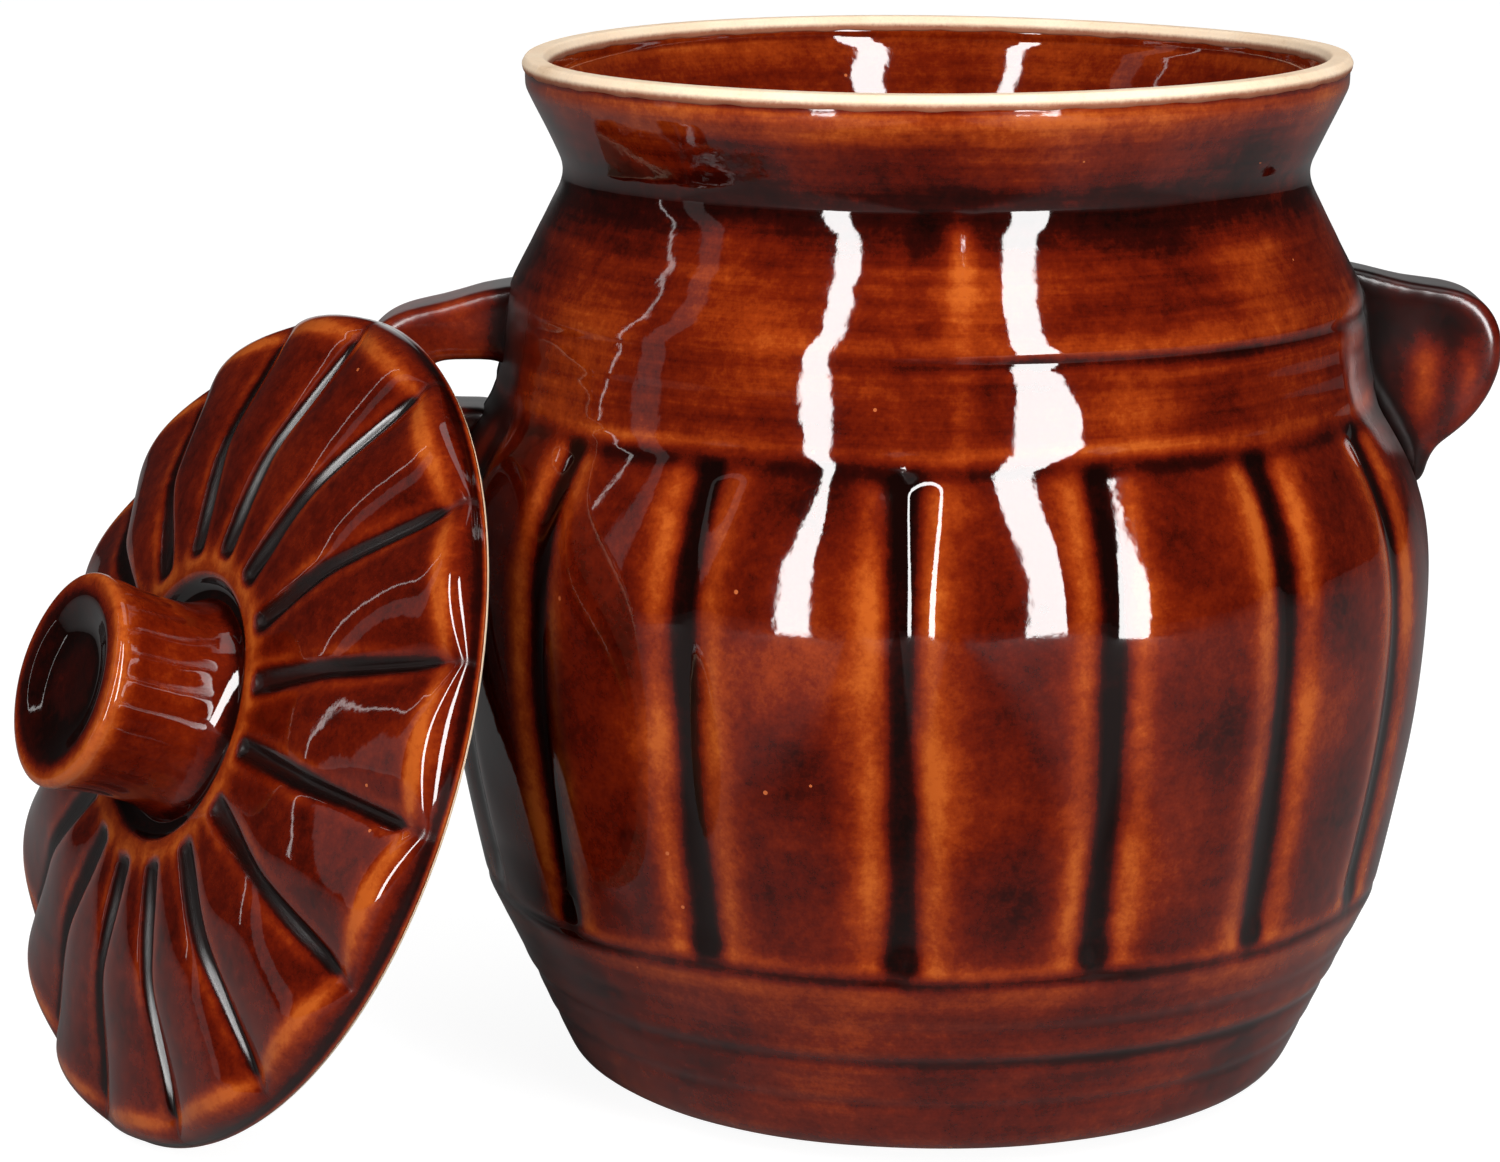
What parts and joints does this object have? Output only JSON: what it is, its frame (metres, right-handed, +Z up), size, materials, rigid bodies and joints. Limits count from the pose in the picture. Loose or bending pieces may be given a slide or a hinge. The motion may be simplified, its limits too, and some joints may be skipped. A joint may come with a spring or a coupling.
{
  "type": "lidded pickle crock",
  "caption": "Brown glazed stoneware pickle crock with barrel staves, a flared mouth and two ears; its fluted lid with a waisted knob leans against one ear.",
  "frame": {"origin": "middle of the crock's flat foot, on the surface that it stands on", "axes": "+Z up along the crock's axis; the front, from which the picture was taken, is -Y; the ears stand out along +X and -X, and the lid leans against the -X ear"},
  "size_m": [0.3242, 0.2222, 0.225],
  "materials": {
    "brown_glaze": "glossy, amber where the glaze is thin and nearly black where it pools",
    "bare_clay": "matte"
  },
  "bodies": {
    "pot": {"pot_body": "brown_glaze", "lip_ring": "bare_clay", "foot": "bare_clay", "handle_left": "brown_glaze", "handle_right": "brown_glaze"},
    "lid": {"lid_plate": "brown_glaze", "lid_seat_ring": "bare_clay", "lid_locating_ring": "brown_glaze", "lid_knob": "brown_glaze"}
  },
  "joints": [
    {"name": "lid_lift", "type": "slide", "parent": "pot", "child": "lid", "axis": [-0.2983, -0.1771, 0.9379], "range_m": [0, 0.28]}
  ]
}
